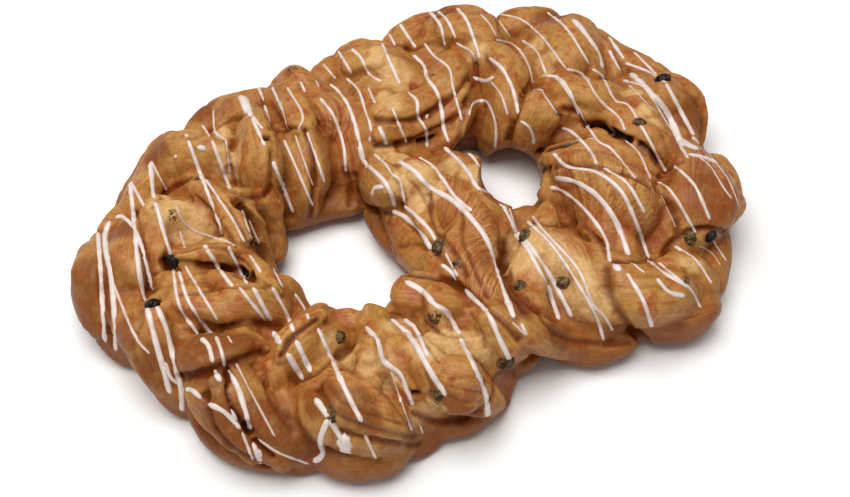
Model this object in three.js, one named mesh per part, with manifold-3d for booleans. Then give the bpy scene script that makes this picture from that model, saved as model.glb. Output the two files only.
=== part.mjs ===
// Braided kringle: one long three-strand rope of sweet raisin dough, laid as a pretzel and drizzled with icing.
// Millimetres, +Z up, +X across the two lobes, +Y from cleft to belly, origin on the base under the middle.
import * as THREE from "three";
import { mergeVertices } from "three/addons/utils/BufferGeometryUtils.js";
import Module from "manifold-3d";

// Route of the rope's middle, from the end tucked under the belly, down the bar, round the left lobe,
// the belly and the right lobe, to the end tucked in at the cleft: x, y, half width and count of strand turns.
// A turn counts one crossing on the outer side, and the one on the inner side comes half a turn later.
const route = [
  [6, 80, 38, -7.3],
  [8, 46, 44, -6.75],
  [8, 4, 43, -6.15],
  [1, -42, 43, -5.65],
  [-24, -84, 44, -5.05],
  [-66, -92, 48, -4.0],
  [-112, -84, 50, -3.05],
  [-146, -53, 53, -2.3],
  [-161, -8, 55, -1.4],
  [-167, 40, 63, -0.4],
  [-149, 82, 61, 0.2],
  [-108, 109, 58, 1.15],
  [-58, 116, 57, 2.35],
  [-2, 118, 58, 3.45],
  [54, 121, 62, 4.3],
  [104, 112, 66, 5.05],
  [138, 82, 67, 5.85],
  [156, 34, 69, 6.6],
  [148, -10, 72, 7.05],
  [127, -48, 70, 7.75],
  [94, -78, 67, 8.5],
  [56, -82, 60, 9.15],
  [18, -66, 52, 9.7],
];

// Three plaited strands over a core that fills the rope's middle. Widths are shares of the rope's half width.
const strandCount = 3;
const strandHalfWidth = 0.46;
const strandSway = 0.55; // side to side
const strandSlantGain = 0.3; // wider where a strand crosses the rope
const strandHalfHeight = 22;
const strandLift = 14; // up over one crossing, and down under the next
const ropeMiddleHeight = 29;
const coreHalfWidth = 0.82;
const coreHalfHeight = 26;
const coreMiddleHeight = 17;
const endTaper = 0.05; // share of the rope's length over which an end rounds off
const endTip = 0.25;
const strandStepsPerSpan = 5;
const strandSides = 9;
const coreStepsPerSpan = 2;
const coreSides = 8;
const crustSliver = 0.35;
const clearSpan = 700; // more than the whole in every direction

// Icing drizzled to and fro in long strokes that drape over the strands.
const strokeCount = 14;
const strokePitch = 33;
const strokeStart = -222;
const strokeLean = 0.24; // sideways for each millimetre towards the belly
const strokeSwing = 3;
const strokeSwingLength = 26;
const strokeSwingShift = 2; // from one stroke to the next
const strokeStep = 10;
const strokeHalfWidth = 3;
const strokeProud = 1.2;
const strokeSunk = 1.1;
const strokeLowest = 36; // strokes end where the dough falls away at the sides
const strokeSteepest = 13; // most fall from one step to the next

// Raisins that show in the crust: x and y.
const raisinPlaces = [
  [-157, 72],
  [-170, 37],
  [-130, 16],
  [-193, 9],
  [-156, -18],
  [-104, -59],
  [-75, -125],
  [-52, -82],
  [-26, -120],
  [-24, -38],
  [-22, -58],
  [7, -85],
  [35, -90],
  [32, -50],
  [99, -129],
  [127, -101],
  [140, -106],
  [152, -11],
  [199, 23],
  [110, 29],
  [56, 101],
  [10, 126],
  [-71, 110],
  [-133, -110],
  [-30, 158],
  [88, 166],
];
const raisinHalfSizes = [5.6, 4.3, 3.6];
const raisinSides = 7;
const raisinRings = 4;
const raisinPucker = 0.1;
const raisinFolds = 3;
const raisinSunk = 0.3; // of its half height, below the crust
const raisinGap = 0.3;
const pocketSliver = 0.05;

const wasm = await Module();
wasm.setup();

function solid(geometry) {
  const bare = geometry.clone();
  bare.deleteAttribute("normal");
  bare.deleteAttribute("uv");
  const merged = mergeVertices(bare, 1e-3);
  const vertProperties = merged.attributes.position.array;
  const triVerts = new Uint32Array(merged.index.array);
  return new wasm.Manifold(new wasm.Mesh({ numProp: 3, vertProperties, triVerts }));
}

function geometryOf(body) {
  const mesh = body.getMesh();
  const geometry = new THREE.BufferGeometry();
  geometry.setAttribute("position", new THREE.BufferAttribute(new Float32Array(mesh.vertProperties), 3));
  geometry.setIndex(new THREE.BufferAttribute(new Uint32Array(mesh.triVerts), 1));
  geometry.computeVertexNormals();
  return geometry;
}

// The largest body alone: sealed hollows filled, loose scraps dropped, faces thinner than sliver merged.
function whole(body, sliver) {
  const largest = body.decompose().sort((a, b) => b.volume() - a.volume())[0];
  return largest.asOriginal().simplify(sliver);
}

const middle = new THREE.CatmullRomCurve3(route.map(([x, y]) => new THREE.Vector3(x, y, 0)));
const measures = new THREE.CatmullRomCurve3(
  route.map(([, , halfWidth, turn]) => new THREE.Vector3(halfWidth, turn, 0)),
  false,
  "catmullrom",
);

// Place, outward direction, half width and turn of the rope at a share of its length.
function ropeAt(share) {
  const place = middle.getPoint(share);
  const ahead = middle.getTangent(share);
  const outward = new THREE.Vector3(-ahead.y, ahead.x, 0);
  const { x: halfWidth, y: turn } = measures.getPoint(share);
  return { place, outward, halfWidth, turn };
}

function endRounding(share) {
  const fromEnd = Math.min(share, 1 - share, endTaper) / endTaper;
  return endTip + (1 - endTip) * Math.sqrt(1 - (1 - fromEnd) ** 2);
}

// A closed tube along the rope, whose section gives its side step, height and half sizes there.
function sweep(section, sides, stepsPerSpan) {
  const steps = stepsPerSpan * (route.length - 1);
  const tube = new THREE.CylinderGeometry(1, 1, 1, sides, steps);
  const points = tube.attributes.position;
  for (let i = 0; i < points.count; i += 1) {
    const share = points.getY(i) + 0.5;
    const rope = ropeAt(share);
    const { side, height, halfWidth, halfHeight } = section(rope);
    const rounding = endRounding(share);
    const out = side - points.getX(i) * halfWidth * rounding;
    const up = height + points.getZ(i) * halfHeight * rounding;
    points.setXYZ(i, rope.place.x + rope.outward.x * out, rope.place.y + rope.outward.y * out, up);
  }
  return solid(tube);
}

// A strand comes in from either edge over its neighbour, and goes out to the other edge under the next one.
function strandSection(strand) {
  return (rope) => {
    const phase = (3 * Math.PI) / 4 + ((2 * Math.PI) / strandCount) * (rope.turn + strand);
    const slant = Math.abs(Math.cos(phase));
    return {
      side: strandSway * rope.halfWidth * Math.sin(phase),
      height: ropeMiddleHeight - strandLift * Math.sin(2 * phase),
      halfWidth: strandHalfWidth * rope.halfWidth * (1 + strandSlantGain * slant),
      halfHeight: strandHalfHeight,
    };
  };
}

function coreSection(rope) {
  return {
    side: 0,
    height: coreMiddleHeight,
    halfWidth: coreHalfWidth * rope.halfWidth,
    halfHeight: coreHalfHeight,
  };
}

function makeBareDough() {
  let dough = sweep(coreSection, coreSides, coreStepsPerSpan);
  for (let strand = 0; strand < strandCount; strand += 1) {
    dough = dough.add(sweep(strandSection(strand), strandSides, strandStepsPerSpan));
  }
  const belowBase = new THREE.BoxGeometry(clearSpan, clearSpan, clearSpan).translate(0, 0, -clearSpan / 2);
  return whole(dough.subtract(solid(belowBase)), crustSliver);
}

const bareDough = makeBareDough();
const crustFaces = new THREE.Mesh(geometryOf(bareDough));
const plumb = new THREE.Raycaster();

// The crust straight below a place in plan, or nothing over a hole.
function crustBelow(x, y) {
  plumb.set(new THREE.Vector3(x, y, clearSpan), new THREE.Vector3(0, 0, -1));
  return plumb.intersectObject(crustFaces)[0];
}

// The stretches of one stroke that lie on the dough, each a list of points on the crust.
function drapedRuns(stroke) {
  const { min, max } = new THREE.Box3().setFromObject(crustFaces);
  const runs = [[]];
  for (let y = min.y; y < max.y; y += strokeStep) {
    const swing = strokeSwing * Math.sin(y / strokeSwingLength + strokeSwingShift * stroke);
    const hit = crustBelow(strokeStart + strokePitch * stroke + strokeLean * y + swing, y);
    const run = runs[runs.length - 1];
    const last = run[run.length - 1];
    const onTop = hit && hit.point.z > strokeLowest;
    if (onTop && (!last || Math.abs(hit.point.z - last.z) < strokeSteepest)) run.push(hit.point);
    else runs.push(onTop ? [hit.point] : []);
  }
  return runs.filter((run) => run.length > 2);
}

function makeStroke(points) {
  const path = new THREE.CatmullRomCurve3(points);
  const section = new THREE.Shape([
    new THREE.Vector2(-strokeProud, 0),
    new THREE.Vector2(strokeSunk, -strokeHalfWidth),
    new THREE.Vector2(strokeSunk, strokeHalfWidth),
  ]);
  return solid(new THREE.ExtrudeGeometry(section, { steps: points.length - 1, extrudePath: path }));
}

// A puckered raisin, larger all round by grow, lying on the slope of the crust.
function makeRaisin([x, y], index, grow) {
  const { point, face } = crustBelow(x, y);
  const raisin = new THREE.SphereGeometry(1, raisinSides, raisinRings);
  const points = raisin.attributes.position;
  for (let i = 0; i < points.count; i += 1) {
    const around = Math.atan2(points.getY(i), points.getX(i));
    const pucker = 1 + raisinPucker * Math.sin(raisinFolds * around + index);
    points.setX(i, points.getX(i) * (raisinHalfSizes[0] * pucker + grow));
    points.setY(i, points.getY(i) * (raisinHalfSizes[1] * pucker + grow));
    points.setZ(i, points.getZ(i) * (raisinHalfSizes[2] + grow));
  }
  raisin.rotateZ(index);
  raisin.applyQuaternion(new THREE.Quaternion().setFromUnitVectors(new THREE.Vector3(0, 0, 1), face.normal));
  const deep = face.normal.clone().multiplyScalar(-raisinSunk * raisinHalfSizes[2]);
  return raisin.translate(point.x + deep.x, point.y + deep.y, point.z + deep.z);
}

function makeDough() {
  let dough = bareDough;
  for (let stroke = 0; stroke < strokeCount; stroke += 1) {
    for (const run of drapedRuns(stroke)) dough = dough.add(makeStroke(run));
  }
  dough = whole(dough, crustSliver);
  raisinPlaces.forEach((place, index) => {
    dough = dough.subtract(solid(makeRaisin(place, index, raisinGap)));
  });
  return whole(dough, pocketSliver);
}

const crustFinish = new THREE.MeshStandardMaterial({ color: 0xb0723a, roughness: 0.55, metalness: 0 });
const raisinFinish = new THREE.MeshStandardMaterial({ color: 0x2b2018, roughness: 0.5, metalness: 0 });

const laid = new THREE.Group();
const dough = new THREE.Mesh(geometryOf(makeDough()), crustFinish);
dough.name = "dough";
laid.add(dough);
raisinPlaces.forEach((place, index) => {
  const raisin = new THREE.Mesh(makeRaisin(place, index, 0), raisinFinish.clone());
  raisin.name = `raisin_${String(index + 1).padStart(2, "0")}`;
  laid.add(raisin);
});

// The origin is under the middle of the whole.
const middleOfAll = new THREE.Box3().setFromObject(laid).getCenter(new THREE.Vector3());
laid.position.set(-middleOfAll.x, -middleOfAll.y, 0);
const kringle = new THREE.Group();
kringle.add(laid);

export default kringle;
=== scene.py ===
# Braided raisin kringle with drizzled icing, laid on a pale floor and seen from the photograph's side.
import math

import bpy
import numpy as np
from mathutils import Matrix, Vector, noise
from mathutils.bvhtree import BVHTree


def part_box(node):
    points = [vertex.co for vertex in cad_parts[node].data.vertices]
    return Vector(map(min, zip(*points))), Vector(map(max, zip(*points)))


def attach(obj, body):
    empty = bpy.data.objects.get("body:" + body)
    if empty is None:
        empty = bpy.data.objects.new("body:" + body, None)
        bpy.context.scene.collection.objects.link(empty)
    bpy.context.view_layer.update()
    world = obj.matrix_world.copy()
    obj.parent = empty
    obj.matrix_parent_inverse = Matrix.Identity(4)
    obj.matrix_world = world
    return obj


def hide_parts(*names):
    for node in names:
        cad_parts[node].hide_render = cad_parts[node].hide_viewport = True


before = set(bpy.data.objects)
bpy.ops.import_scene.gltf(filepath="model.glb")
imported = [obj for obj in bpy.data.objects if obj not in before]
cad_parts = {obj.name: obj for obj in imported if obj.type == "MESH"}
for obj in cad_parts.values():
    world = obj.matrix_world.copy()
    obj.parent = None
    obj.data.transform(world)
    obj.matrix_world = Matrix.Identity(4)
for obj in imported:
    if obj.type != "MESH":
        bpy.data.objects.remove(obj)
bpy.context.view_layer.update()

mm = 0.001


def deselectAll():
    if bpy.context.object and bpy.context.object.mode != "OBJECT":
        bpy.ops.object.mode_set(mode="OBJECT")
    bpy.ops.object.select_all(action="DESELECT")


def pickOnly(*objs):
    deselectAll()
    for obj in objs:
        obj.select_set(True)
    bpy.context.view_layer.objects.active = objs[-1]


def applyModifier(obj, kind, **settings):
    pickOnly(obj)
    modifier = obj.modifiers.new(kind.lower(), kind)
    for key, value in settings.items():
        setattr(modifier, key, value)
    bpy.ops.object.modifier_apply(modifier=modifier.name)


def coordsOf(obj):  # in mm
    flat = np.empty(len(obj.data.vertices) * 3, np.float32)
    obj.data.vertices.foreach_get("co", flat)
    return flat.reshape(-1, 3).astype(float) / mm


def setCoords(obj, points):
    obj.data.vertices.foreach_set("co", (points * mm).astype(np.float32).ravel())
    obj.data.update()


def setAboveFloor(obj, points):
    points[:, 2] = np.maximum(points[:, 2], 0)
    setCoords(obj, points)


def normalsOf(obj):
    flat = np.empty(len(obj.data.vertices) * 3, np.float32)
    obj.data.vertex_normals.foreach_get("vector", flat)
    return flat.reshape(-1, 3).astype(float)


def surfaceOf(obj):  # for finding points on the skin, in mm
    polygons = [tuple(p.vertices) for p in obj.data.polygons]
    return BVHTree.FromPolygons(coordsOf(obj).tolist(), polygons)


def smoothStep(low, high, value):
    t = np.clip((value - low) / (high - low), 0, 1)
    return t * t * (3 - 2 * t)


def unit(v):
    return v / np.maximum(np.linalg.norm(v, axis=-1, keepdims=True), 1e-9)


def lengthAlong(path):  # from its start to each of its points
    return np.concatenate([[0], np.cumsum(np.linalg.norm(np.diff(path, axis=0), axis=1))])


# Camera: the photograph's place over the front left corner.
view = {
    "width": 850, "height": 497,     # px
    "focal": 1100,                   # px
    "target": (-17.1, -30.7, 30),    # mm
    "azimuth": -30, "elevation": 50, # degrees
    "distance": 720,                 # mm
    "sensor": 36,                    # mm
}


def addCamera():
    a, e = math.radians(view["azimuth"]), math.radians(view["elevation"])
    back = Vector((math.sin(a) * math.cos(e), -math.cos(a) * math.cos(e), math.sin(e)))
    place = (Vector(view["target"]) + back * view["distance"]) * mm
    deselectAll()
    bpy.ops.object.camera_add(location=place, rotation=back.to_track_quat("Z", "Y").to_euler())
    camera = bpy.context.object
    camera.name = "photoCamera"
    camera.data.sensor_width = view["sensor"]
    camera.data.lens = view["sensor"] * view["focal"] / view["width"]
    camera.data.clip_start = 0.01
    bpy.context.scene.camera = camera
    bpy.context.view_layer.update()
    return camera


camera = addCamera()
eye = camera.matrix_world.translation / mm


def sightLine(px, py):  # from the camera through a pixel of the photograph
    ray = Vector((px - view["width"] / 2, view["height"] / 2 - py, -view["focal"]))
    return (camera.matrix_world.to_3x3() @ ray).normalized()


def onSkin(tree, px, py):  # the point of the skin that a pixel shows
    return tree.ray_cast(eye, sightLine(px, py))


def atHeight(height, px, py):
    line = sightLine(px, py)
    return eye + line * ((height - eye.z) / line.z)


print("camera set")

# Dough: three strands plaited round a core, laid along the same route as the solid.
dough = {
    "route": [  # x, y and half width in mm, and the count of strand turns
        (6, 80, 38, -7.3), (8, 46, 44, -6.75), (8, 4, 43, -6.15), (1, -42, 43, -5.65), (-24, -84, 44, -5.05),
        (-66, -92, 48, -4.0), (-112, -84, 50, -3.05), (-146, -53, 53, -2.3), (-161, -8, 55, -1.4),
        (-167, 40, 63, -0.4), (-149, 82, 61, 0.2), (-108, 109, 58, 1.15), (-58, 116, 57, 2.35),
        (-2, 118, 58, 3.45), (54, 121, 62, 4.3), (104, 112, 66, 5.05), (138, 82, 67, 5.85),
        (156, 34, 69, 6.6), (148, -10, 72, 7.05), (127, -48, 70, 7.75), (94, -78, 67, 8.5),
        (56, -82, 60, 9.15), (18, -66, 52, 9.7),
    ],
    "shift": (1.60, -18.41),         # mm, from the route's own origin to the middle of the base
    "strands": 3,
    "strandHalfWidth": 0.46,         # of the rope's half width, as are sway and core
    "sway": 0.55,
    "slantGain": 0.3,
    "strandHalfHeight": 22,          # mm, as are the heights below
    "lift": 14,
    "middleHeight": 29,
    "coreHalfWidth": 0.82,
    "coreHalfHeight": 26,
    "coreMiddleHeight": 17,
    "endTaper": 0.05, "endTip": 0.25,
    "rings": 440, "sides": 32,
    "roughVoxel": 2.6,
    "underFolds": 3.5,               # mm that the plait lies below the folds that show
    "voxel": 1.4,
    "plaitSoftness": 6,              # rounds of smoothing before the folds are laid
    "softness": 4,                   # and where folds run together
    "facing": 0.05,                  # least cosine at which skin counts as turned to the camera
    "clear": 1.5,                    # mm off the skin where a look towards the camera starts
    "triangles": 190000,
}


def throughPoints(points, share, centripetal):  # a Catmull-Rom curve at each share of its points
    p = np.asarray(points, float)
    p = np.vstack([2 * p[0] - p[1], p, 2 * p[-1] - p[-2]])
    at = np.asarray(share) * (len(p) - 3)
    i = np.clip(at.astype(int), 0, len(p) - 4)
    w = (at - i)[:, None]
    p0, p1, p2, p3 = p[i], p[i + 1], p[i + 2], p[i + 3]
    if centripetal:
        spans = (p0, p1), (p1, p2), (p2, p3)
        d0, d1, d2 = (np.linalg.norm(b - a, axis=1)[:, None] ** 0.5 for a, b in spans)
        t1 = ((p1 - p0) / d0 - (p2 - p0) / (d0 + d1) + (p2 - p1) / d1) * d1
        t2 = ((p2 - p1) / d1 - (p3 - p1) / (d1 + d2) + (p3 - p2) / d2) * d1
    else:
        t1, t2 = (p2 - p0) / 2, (p3 - p1) / 2
    return p1 + t1 * w + (3 * p2 - 3 * p1 - 2 * t1 - t2) * w ** 2 + (2 * p1 - 2 * p2 + t1 + t2) * w ** 3


def ropeAt(share):
    route = np.array(dough["route"])
    place = throughPoints(route[:, :2], share, True) + dough["shift"]
    step = 1e-4
    ahead = throughPoints(route[:, :2], np.minimum(share + step, 1), True)
    ahead = unit(ahead - throughPoints(route[:, :2], np.maximum(share - step, 0), True))
    outward = np.stack([-ahead[:, 1], ahead[:, 0]], -1)
    halfWidth, turn = throughPoints(route[:, 2:], share, False).T
    return place, ahead, outward, halfWidth, turn


def strandSection(halfWidth, turn, strand):
    phase = 3 * math.pi / 4 + 2 * math.pi / dough["strands"] * (turn + strand)
    side = dough["sway"] * halfWidth * np.sin(phase)
    height = dough["middleHeight"] - dough["lift"] * np.sin(2 * phase)
    wide = dough["strandHalfWidth"] * halfWidth * (1 + dough["slantGain"] * np.abs(np.cos(phase)))
    return side, height, wide, np.full_like(side, dough["strandHalfHeight"])


def coreSection(halfWidth):
    side = np.zeros_like(halfWidth)
    height = side + dough["coreMiddleHeight"]
    return side, height, dough["coreHalfWidth"] * halfWidth, side + dough["coreHalfHeight"]


def sweptTube(name, section):  # a grid rolled into a closed tube along the rope
    deselectAll()
    rings, sides = dough["rings"], dough["sides"]
    bpy.ops.mesh.primitive_grid_add(x_subdivisions=rings, y_subdivisions=sides, size=2 * mm)
    tube = bpy.context.object
    tube.name = name
    sheet = coordsOf(tube)
    share, angle = (sheet[:, 0] + 1) / 2, (sheet[:, 1] + 1) * math.pi
    place, _, outward, halfWidth, turn = ropeAt(share)
    side, height, wide, tall = section(halfWidth, turn)
    fromEnd = np.minimum(np.minimum(share, 1 - share), dough["endTaper"]) / dough["endTaper"]
    rounding = dough["endTip"] + (1 - dough["endTip"]) * np.sqrt(1 - (1 - fromEnd) ** 2)
    out = side + np.cos(angle) * wide * rounding
    up = np.maximum(height + np.sin(angle) * tall * rounding, 0)
    setCoords(tube, np.column_stack([place + outward * out[:, None], up]))
    bpy.ops.object.mode_set(mode="EDIT")
    bpy.ops.mesh.select_all(action="SELECT")
    bpy.ops.mesh.remove_doubles(threshold=1e-6)
    bpy.ops.mesh.fill_holes(sides=0)
    bpy.ops.mesh.normals_make_consistent(inside=False)
    bpy.ops.object.mode_set(mode="OBJECT")
    return tube


def keepLargest(obj):  # drops the skins of hollows sealed inside
    pickOnly(obj)
    bpy.ops.object.mode_set(mode="EDIT")
    bpy.ops.mesh.select_all(action="SELECT")
    bpy.ops.mesh.separate(type="LOOSE")
    bpy.ops.object.mode_set(mode="OBJECT")
    parts = sorted(bpy.context.selected_objects, key=lambda o: len(o.data.vertices))
    for scrap in parts[:-1]:
        bpy.data.objects.remove(scrap)
    pickOnly(parts[-1])
    return parts[-1]


def fuse(objs, voxel):
    pickOnly(*objs)
    bpy.ops.object.join()
    joined = bpy.context.object
    applyModifier(joined, "REMESH", mode="VOXEL", voxel_size=voxel * mm)
    return keepLargest(joined)


def plaitDough():
    tubes = [sweptTube("core", lambda w, t: coreSection(w))]
    for strand in range(dough["strands"]):
        tubes.append(sweptTube(f"strand{strand}", lambda w, t, s=strand: strandSection(w, t, s)))
    return fuse(tubes, dough["roughVoxel"])


loaf = plaitDough()
print("dough plaited:", len(loaf.data.polygons), "faces")

# Folds: the lumps and pulled strands that show on the plait, each along its crest in the photograph.
folds = {
    "flatness": 0.72,   # height of a fold for its width
    "squareness": 2.6,  # of its section, where 2 is round
    "overrun": 0.55,    # of the half width, past the last point at each end
    "dive": 0.3,        # of the half width, that the ends go down
    "blunt": 0.6,
    "segments": 28, "rings": 40,
    "rows": [           # half width and rise in mm, then pixels
        # left lobe
        (13, 2, (106, 236), (88, 262), (84, 295), (94, 335)),
        (15, 2.5, (124, 225), (122, 255), (126, 300), (135, 345)),
        (11, 2, (147, 205), (152, 235), (156, 262)),
        (16, 2, (126, 204), (148, 168), (182, 150), (222, 165)),
        (12, 0.5, (165, 203), (188, 220), (205, 235)),
        (9, 2.5, (192, 182), (217, 205), (246, 243)),
        (8, 1, (196, 205), (222, 232)),
        (8, 3, (238, 193), (262, 208), (279, 240)),
        (7, 3.5, (182, 261), (205, 254), (228, 255), (248, 260), (265, 273), (280, 293)),
        (10, 3, (155, 280), (172, 281)),
        (9, 2, (186, 273), (215, 277), (243, 287)),
        (7, 2, (200, 282), (224, 286)),
        (12, 2, (178, 292), (210, 300), (248, 301), (290, 312)),
        (14, 3, (187, 352), (215, 347), (262, 337)),
        (13, 4, (188, 357), (206, 352)),
        (7, 2.5, (183, 335), (197, 333)),
        (10, 1.5, (152, 315), (161, 345), (175, 385)),
        (9, 0, (138, 350), (150, 375), (172, 402)),
        # front left
        (8, 1, (190, 395), (203, 430), (235, 460), (285, 470)),
        (8, 2, (211, 402), (226, 430), (254, 461)),
        (6, 2, (214, 377), (225, 400), (240, 424)),
        (11, 2.5, (243, 370), (255, 396), (277, 426), (301, 450)),
        (9, 2, (272, 368), (279, 390), (288, 412)),
        (12, 1.5, (302, 394), (312, 420), (320, 445)),
        (10, 1, (334, 432), (338, 468)),
        (10, 0.5, (358, 440), (372, 466)),
        (5.5, 3, (279, 361), (287, 344), (302, 326), (325, 313), (354, 313)),
        (11, 2.5, (290, 366), (310, 347), (346, 330)),
        (10, 1, (354, 353), (378, 350)),
        (15, 2.5, (330, 382), (360, 400), (405, 418)),
        (10, 2, (377, 320), (397, 352), (411, 396)),
        (18, 1, (424, 386), (453, 392), (482, 388)),
        (11, 1, (468, 360), (488, 388), (497, 415)),
        (15, 3, (402, 292), (430, 295), (465, 305), (495, 326)),
        (10, 2, (484, 315), (512, 350)),
        (5, 2, (524, 355), (540, 363)),
        (13, 0.5, (425, 340), (455, 348), (485, 358)),
        (12, 1.5, (404, 335), (420, 365), (432, 392)),
        # belly
        (11, 2, (198, 120), (225, 107), (256, 97)),
        (17, 1.5, (244, 124), (247, 158), (254, 190)),
        (8, 1, (218, 128), (226, 168)),
        (16, 2.5, (283, 138), (290, 172), (300, 215)),
        (12, 2, (264, 92), (284, 98), (303, 122)),
        (20, 2.5, (334, 95), (341, 130), (345, 165)),
        (17, 1.5, (323, 185), (335, 212)),
        (12, 2, (318, 76), (345, 61), (380, 55)),
        (12, 0.5, (380, 55), (395, 85), (388, 105)),
        (16, 3, (384, 112), (425, 95), (460, 60)),
        (7.5, 3, (374, 134), (406, 132), (442, 116), (468, 92)),
        (7, 2, (404, 149), (428, 145), (452, 134), (467, 108)),
        (15, 2, (404, 34), (440, 24), (480, 24), (500, 34)),
        (9, 0.5, (468, 45), (486, 55)),
        (16, 2.5, (484, 72), (494, 105), (488, 145)),
        (13, 2, (500, 45), (518, 70), (516, 118)),
        (15, 2, (546, 92), (540, 120), (530, 152)),
        (16, 2, (506, 22), (538, 24), (565, 48), (578, 66)),
        (9, 2, (566, 18), (586, 42), (602, 74)),
        (5, 1, (609, 44), (617, 74)),
        (9, 0.5, (528, 42), (552, 68)),
        # right lobe
        (14, 2.5, (545, 82), (580, 84), (612, 100)),
        (9, 2.5, (582, 112), (608, 110), (630, 130)),
        (9, 1.5, (622, 102), (645, 130), (662, 160)),
        (14, 2, (632, 58), (664, 84), (684, 112), (690, 138)),
        (10, 1, (626, 84), (655, 112), (678, 152)),
        (7, 0.5, (553, 141), (585, 134), (618, 146), (640, 160)),
        (11, 2, (545, 156), (590, 150), (628, 160), (655, 176)),
        (24, 2.5, (704, 152), (711, 188), (706, 224)),
        (24, 3, (540, 246), (558, 276), (582, 314)),
        (14, 2, (520, 252), (527, 282), (548, 310)),
        (13, 2, (664, 256), (696, 262), (720, 288)),
        (11, 1, (515, 302), (532, 325), (570, 346), (614, 353), (638, 346)),
        # bar
        (14, 2.5, (366, 172), (380, 185), (388, 201)),
        (9, 2.5, (404, 180), (416, 202), (433, 236)),
        (15, 2.5, (384, 216), (408, 242), (452, 276)),
        (11, 2, (447, 152), (465, 170), (479, 190)),
        (13, 2.5, (480, 194), (500, 214), (512, 242)),
        (9, 1, (395, 158), (425, 170), (445, 185)),
    ],
    "twist": 0.7,       # of the drawn skin, along the fold for each mm across it
    "acrossRows": [     # the same, with the skin drawn out across the fold
        (29, 0.5, (556, 194), (600, 207), (643, 234)),
        (15, 3, (598, 172), (630, 184), (655, 208)),
        (19, 3, (438, 188), (458, 218), (480, 255), (500, 294)),
    ],
    "rims": [           # half width and middle height in mm, then pixels, of dough bulging past the plait
        (13, 12, (200, 405), (222, 432), (255, 450), (300, 455)),
        (17, 15, (318, 446), (345, 452), (380, 450), (402, 440)),
        (13, 12, (430, 423), (460, 416), (486, 404)),
        (16, 46, (405, 294), (425, 296), (448, 302)),
        (10, 38, (396, 307), (408, 312), (422, 318)),
        (8, 14, (508, 364), (522, 360), (534, 352)),
        (13, 13, (548, 340), (590, 347), (625, 340)),
        (24, 19, (632, 306), (665, 308), (700, 301)),
        (14, 20, (712, 232), (710, 260), (706, 290)),
        (16, 30, (708, 165), (718, 190), (716, 215)),
        (12, 14, (288, 222), (306, 211), (330, 204), (356, 204)),
        (10, 16, (275, 238), (272, 258)),
        (11, 16, (375, 212), (392, 235), (412, 258)),
        (8, 40, (332, 324), (346, 320), (358, 322)),
        (14, 22, (508, 228), (536, 224)),
        (17, 38, (552, 188), (580, 198)),
        (12, 38, (550, 163), (572, 157)),
        (10, 35, (455, 165), (475, 168)),
        (14, 35, (392, 48), (410, 36), (432, 27), (455, 24)),
        (14, 35, (503, 29), (525, 22), (552, 23)),
        (12, 32, (592, 36), (612, 54), (645, 71), (672, 88)),
        (12, 32, (190, 140), (205, 125), (222, 112), (245, 104), (268, 97)),
        (12, 35, (319, 86), (337, 66)),
        (18, 24, (103, 252), (100, 285), (106, 322)),
    ],
    "gap": (510, 177, 27, 26),  # middle and half sizes in pixels of the opening seen in the right lobe
    "gapEdge": 1.2,             # of the opening, where the dough stays as it is
    "gapCore": 0.05,            # of the opening, round its middle, where dough moves out as one
    "presses": [        # reach and depth in mm, then the pixel, where the plait is squeezed in
        (45, 27, 706, 112), (34, 24, 104, 220), (35, 6, 140, 158), (20, 12, 372, 310),
        (22, 8, 432, 448), (15, 5, 512, 393), (28, 4, 290, 80),
    ],
}


def foldAt(fold, share):  # place, and the directions along, sideways and up
    place = throughPoints(fold["place"], share, True)
    step = 1e-3
    before, after = (throughPoints(fold["place"], share + s, True) for s in (-step, step))
    ahead = unit(after - before)
    upward = throughPoints(fold["upward"], share, False)
    upward = unit(upward - ahead * (upward * ahead).sum(1)[:, None])
    return place, ahead, np.cross(ahead, upward), upward


def newFold(halfWidth, place, upward, across):
    out = folds["overrun"] * halfWidth
    down = folds["dive"] * halfWidth
    first = place[0] + unit(place[0] - place[1]) * out - upward[0] * down
    last = place[-1] + unit(place[-1] - place[-2]) * out - upward[-1] * down
    return {
        "place": np.vstack([first, place, last]),
        "upward": np.vstack([upward[0], upward, upward[-1]]),
        "wide": halfWidth, "tall": folds["flatness"] * halfWidth, "across": across,
    }


def crestFold(tree, row, across=False):
    halfWidth, rise = row[:2]
    hits = [onSkin(tree, *pixel) for pixel in row[2:]]
    hits = [hit for hit in hits if hit[0] is not None]
    if len(hits) < 2:
        return None
    upward = np.array([hit[1] for hit in hits])
    place = np.array([hit[0] for hit in hits]) + upward * (rise - folds["flatness"] * halfWidth)
    return newFold(halfWidth, place, upward, across)


def rimFold(row):
    place = np.array([atHeight(row[1], *pixel) for pixel in row[2:]])
    return newFold(row[0], place, np.tile((0.0, 0.0, 1.0), (len(place), 1)), False)


def foldLump(fold):  # a ball drawn out along the fold
    deselectAll()
    bpy.ops.mesh.primitive_uv_sphere_add(segments=folds["segments"], ring_count=folds["rings"], radius=mm)
    lump = bpy.context.object
    ball = coordsOf(lump)
    share = np.arccos(np.clip(ball[:, 2], -1, 1)) / math.pi
    place, ahead, side, upward = foldAt(fold, share)
    around = unit(ball[:, :2]) * (np.sin(share * math.pi) ** folds["blunt"])[:, None]
    n = folds["squareness"]
    around /= np.maximum((np.abs(unit(around)) ** n).sum(1, keepdims=True), 1e-6) ** (1 / n)
    points = place + side * around[:, :1] * fold["wide"] + upward * around[:, 1:] * fold["tall"]
    setAboveFloor(lump, points)
    return lump


def seenFromCamera(obj, tree):
    points, normals = coordsOf(obj), normalsOf(obj)
    toEye = unit(np.array(eye) - points)
    seen = np.zeros(len(points))
    for i in np.flatnonzero((normals * toEye).sum(1) > dough["facing"]):
        start = Vector(points[i] + normals[i] * dough["clear"])
        seen[i] = tree.ray_cast(start, Vector(toEye[i]))[0] is None
    return seen


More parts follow.
